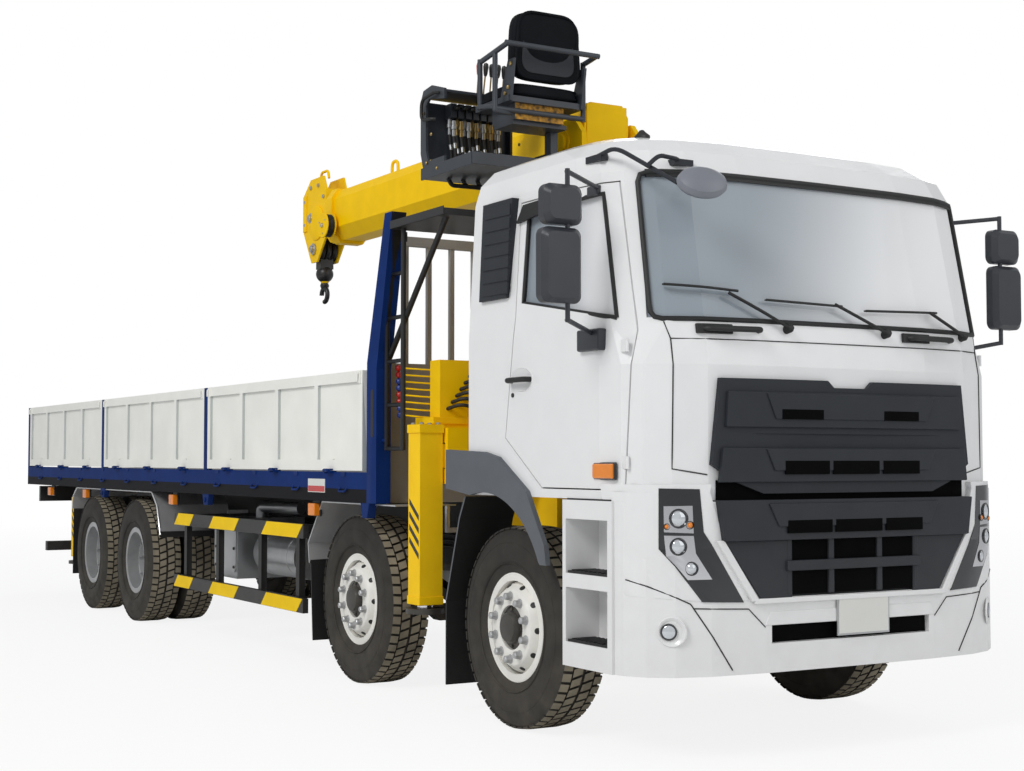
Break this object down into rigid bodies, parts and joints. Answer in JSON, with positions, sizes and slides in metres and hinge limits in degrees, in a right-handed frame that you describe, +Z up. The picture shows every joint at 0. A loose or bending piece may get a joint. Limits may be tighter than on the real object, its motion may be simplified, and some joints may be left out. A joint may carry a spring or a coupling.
{
  "type": "truck-mounted crane",
  "caption": "Mobile crane: a cab-over carrier truck with a dropside bed and a stick-boom telescopic crane, seat and outriggers behind the cab.",
  "frame": {"origin": "on the ground under the middle of the vehicle", "axes": "+X forward, +Y left, +Z up"},
  "size_m": [11.85, 3.23, 4.115],
  "materials": {
    "chassis_black": "satin black",
    "gear_black": "matt black",
    "tank_metal": "dull silver",
    "guard_steel": "ribbed stainless",
    "spare_tyre": "matt",
    "cab_white": "gloss white",
    "lamp_lens": "clear",
    "bed_navy": "gloss navy",
    "headboard_grey": "satin grey",
    "crane_yellow": "gloss yellow",
    "screen_glass": "clear",
    "interior_grey": "matt",
    "trim_grey": "grained dark grey",
    "wheel_cream": "satin",
    "wheel_silver": "satin",
    "tyre_black": "matt",
    "board_cream": "satin off-white",
    "rod_chrome": "polished",
    "hook_black": "satin",
    "station_black": "satin black",
    "seat_black": "matt"
  },
  "bodies": {
    "carrier": {"chassis_frame": "chassis_black", "running_gear": "gear_black", "tanks": "tank_metal", "mudguards": "guard_steel", "spare_wheel": "spare_tyre", "bumper_panels": "cab_white", "lamps": "lamp_lens", "bed_deck": "bed_navy", "headboard": "headboard_grey", "crane_base": "crane_yellow", "cab_shell": "cab_white", "cab_glass": "screen_glass", "cab_interior": "interior_grey", "cab_trim": "trim_grey"},
    "knuckle_1_right": {"knuckle_1_right": "gear_black"},
    "wheel_1_right": {"wheel_1_right": "wheel_cream", "tyre_1_right": "tyre_black"},
    "knuckle_2_right": {"knuckle_2_right": "gear_black"},
    "wheel_2_right": {"wheel_2_right": "wheel_cream", "tyre_2_right": "tyre_black"},
    "wheel_3_right": {"wheel_3_right": "wheel_silver", "tyre_3_right": "tyre_black"},
    "wheel_4_right": {"wheel_4_right": "wheel_silver", "tyre_4_right": "tyre_black"},
    "door_right": {"door_right": "cab_white"},
    "board_1_right": {"board_1_right": "board_cream"},
    "board_2_right": {"board_2_right": "board_cream"},
    "board_3_right": {"board_3_right": "board_cream"},
    "knuckle_1_left": {"knuckle_1_left": "gear_black"},
    "wheel_1_left": {"wheel_1_left": "wheel_cream", "tyre_1_left": "tyre_black"},
    "knuckle_2_left": {"knuckle_2_left": "gear_black"},
    "wheel_2_left": {"wheel_2_left": "wheel_cream", "tyre_2_left": "tyre_black"},
    "wheel_3_left": {"wheel_3_left": "wheel_silver", "tyre_3_left": "tyre_black"},
    "wheel_4_left": {"wheel_4_left": "wheel_silver", "tyre_4_left": "tyre_black"},
    "door_left": {"door_left": "cab_white"},
    "board_1_left": {"board_1_left": "board_cream"},
    "board_2_left": {"board_2_left": "board_cream"},
    "board_3_left": {"board_3_left": "board_cream"},
    "tailgate": {"tailgate": "board_cream"},
    "column": {"crane_column": "crane_yellow", "operator_station": "station_black", "seat": "seat_black"},
    "boom_1": {"boom_1": "crane_yellow"},
    "boom_2": {"boom_2": "crane_yellow"},
    "boom_3": {"boom_3": "crane_yellow"},
    "boom_4": {"boom_4": "crane_yellow"},
    "hook": {"hook": "hook_black"},
    "lift_barrel": {"lift_barrel": "crane_yellow"},
    "lift_rod": {"lift_rod": "rod_chrome"},
    "outrigger_right": {"outrigger_right": "crane_yellow"},
    "jack_right": {"jack_right": "rod_chrome"},
    "rear_jack_right": {"rear_jack_right": "rod_chrome"},
    "outrigger_left": {"outrigger_left": "crane_yellow"},
    "jack_left": {"jack_left": "rod_chrome"},
    "rear_jack_left": {"rear_jack_left": "rod_chrome"}
  },
  "joints": [
    {"name": "steer_1_right", "type": "hinge", "parent": "carrier", "child": "knuckle_1_right", "pos_m": [4.525, -0.9, 0.5425], "axis": [0, 0, -1], "range_deg": [-34, 34]},
    {"name": "spin_1_right", "type": "hinge", "parent": "knuckle_1_right", "child": "wheel_1_right", "pos_m": [4.525, -1.02, 0.5425], "axis": [0, 1, 0], "continuous": true},
    {"name": "steer_2_right", "type": "hinge", "parent": "carrier", "child": "knuckle_2_right", "pos_m": [2.535, -0.9, 0.5425], "axis": [0, 0, -1], "range_deg": [-22.5, 22.5]},
    {"name": "spin_2_right", "type": "hinge", "parent": "knuckle_2_right", "child": "wheel_2_right", "pos_m": [2.535, -1.02, 0.5425], "axis": [0, 1, 0], "continuous": true},
    {"name": "spin_3_right", "type": "hinge", "parent": "carrier", "child": "wheel_3_right", "pos_m": [-2.025, -0.92, 0.5425], "axis": [0, 1, 0], "continuous": true},
    {"name": "spin_4_right", "type": "hinge", "parent": "carrier", "child": "wheel_4_right", "pos_m": [-3.392, -0.92, 0.5425], "axis": [0, 1, 0], "continuous": true},
    {"name": "door_right_swing", "type": "hinge", "parent": "carrier", "child": "door_right", "pos_m": [5.665, -1.186, 2], "axis": [0, 0, 1], "range_deg": [0, 75]},
    {"name": "board_1_right_fold", "type": "hinge", "parent": "carrier", "child": "board_1_right", "pos_m": [0, -1.285, 1.372], "axis": [1, 0, 0], "range_deg": [0, 180]},
    {"name": "board_2_right_fold", "type": "hinge", "parent": "carrier", "child": "board_2_right", "pos_m": [0, -1.285, 1.372], "axis": [1, 0, 0], "range_deg": [0, 180]},
    {"name": "board_3_right_fold", "type": "hinge", "parent": "carrier", "child": "board_3_right", "pos_m": [0, -1.285, 1.372], "axis": [1, 0, 0], "range_deg": [0, 180]},
    {"name": "steer_1_left", "type": "hinge", "parent": "carrier", "child": "knuckle_1_left", "pos_m": [4.525, 0.9, 0.5425], "axis": [0, 0, -1], "range_deg": [-34, 34]},
    {"name": "spin_1_left", "type": "hinge", "parent": "knuckle_1_left", "child": "wheel_1_left", "pos_m": [4.525, 1.02, 0.5425], "axis": [0, 1, 0], "continuous": true},
    {"name": "steer_2_left", "type": "hinge", "parent": "carrier", "child": "knuckle_2_left", "pos_m": [2.535, 0.9, 0.5425], "axis": [0, 0, -1], "range_deg": [-22.5, 22.5]},
    {"name": "spin_2_left", "type": "hinge", "parent": "knuckle_2_left", "child": "wheel_2_left", "pos_m": [2.535, 1.02, 0.5425], "axis": [0, 1, 0], "continuous": true},
    {"name": "spin_3_left", "type": "hinge", "parent": "carrier", "child": "wheel_3_left", "pos_m": [-2.025, 0.92, 0.5425], "axis": [0, 1, 0], "continuous": true},
    {"name": "spin_4_left", "type": "hinge", "parent": "carrier", "child": "wheel_4_left", "pos_m": [-3.392, 0.92, 0.5425], "axis": [0, 1, 0], "continuous": true},
    {"name": "door_left_swing", "type": "hinge", "parent": "carrier", "child": "door_left", "pos_m": [5.665, 1.186, 2], "axis": [0, 0, -1], "range_deg": [0, 75]},
    {"name": "board_1_left_fold", "type": "hinge", "parent": "carrier", "child": "board_1_left", "pos_m": [0, 1.285, 1.372], "axis": [1, 0, 0], "range_deg": [-180, 0]},
    {"name": "board_2_left_fold", "type": "hinge", "parent": "carrier", "child": "board_2_left", "pos_m": [0, 1.285, 1.372], "axis": [1, 0, 0], "range_deg": [-180, 0]},
    {"name": "board_3_left_fold", "type": "hinge", "parent": "carrier", "child": "board_3_left", "pos_m": [0, 1.285, 1.372], "axis": [1, 0, 0], "range_deg": [-180, 0]},
    {"name": "tailgate_fold", "type": "hinge", "parent": "carrier", "child": "tailgate", "pos_m": [-5.913, 0, 1.372], "axis": [0, -1, 0], "range_deg": [0, 180]},
    {"name": "slew", "type": "hinge", "parent": "carrier", "child": "column", "pos_m": [3.465, 0, 1.7], "axis": [0, 0, 1], "continuous": true},
    {"name": "luff", "type": "hinge", "parent": "column", "child": "boom_1", "pos_m": [3.585, 0, 3.42], "axis": [0, 1, 0], "range_deg": [0, 76]},
    {"name": "extend_2", "type": "slide", "parent": "boom_1", "child": "boom_2", "axis": [-1, 0, 0], "range_m": [0, 3]},
    {"name": "extend_3", "type": "slide", "parent": "boom_2", "child": "boom_3", "axis": [-1, 0, 0], "range_m": [0, 3]},
    {"name": "extend_4", "type": "slide", "parent": "boom_3", "child": "boom_4", "axis": [-1, 0, 0], "range_m": [0, 3]},
    {"name": "hook_hang", "type": "hinge", "parent": "boom_4", "child": "hook", "pos_m": [-0.615, 0, 3.19], "axis": [0, 1, 0], "range_deg": [-77, 1]},
    {"name": "lift_tilt", "type": "hinge", "parent": "column", "child": "lift_barrel", "pos_m": [3.205, 0, 2], "axis": [0, 1, 0], "range_deg": [0, 7.14]},
    {"name": "lift_stroke", "type": "slide", "parent": "lift_barrel", "child": "lift_rod", "axis": [-0.1198, 0, 0.9928], "range_m": [0, 0.696]},
    {"name": "outrigger_right_slide", "type": "slide", "parent": "carrier", "child": "outrigger_right", "axis": [0, -1, 0], "range_m": [0, 1.5]},
    {"name": "jack_right_lower", "type": "slide", "parent": "outrigger_right", "child": "jack_right", "axis": [0, 0, -1], "range_m": [0, 0.535]},
    {"name": "rear_jack_right_lower", "type": "slide", "parent": "carrier", "child": "rear_jack_right", "axis": [0, 0, -1], "range_m": [0, 0.385]},
    {"name": "outrigger_left_slide", "type": "slide", "parent": "carrier", "child": "outrigger_left", "axis": [0, 1, 0], "range_m": [0, 1.5]},
    {"name": "jack_left_lower", "type": "slide", "parent": "outrigger_left", "child": "jack_left", "axis": [0, 0, -1], "range_m": [0, 0.535]},
    {"name": "rear_jack_left_lower", "type": "slide", "parent": "carrier", "child": "rear_jack_left", "axis": [0, 0, -1], "range_m": [0, 0.385]}
  ],
  "couplings": [
    {"joint": "steer_2_right", "follows": "steer_1_right", "ratio": 0.66},
    {"joint": "steer_1_left", "follows": "steer_1_right", "ratio": 1},
    {"joint": "steer_2_left", "follows": "steer_1_right", "ratio": 0.66},
    {"joint": "extend_3", "follows": "extend_2", "ratio": 1},
    {"joint": "extend_4", "follows": "extend_2", "ratio": 1},
    {"joint": "hook_hang", "follows": "luff", "ratio": -1},
    {"joint": "lift_tilt", "follows": "luff", "ratio": 0.09133},
    {"joint": "lift_stroke", "follows": "luff", "m_per_rad": 0.52263}
  ]
}
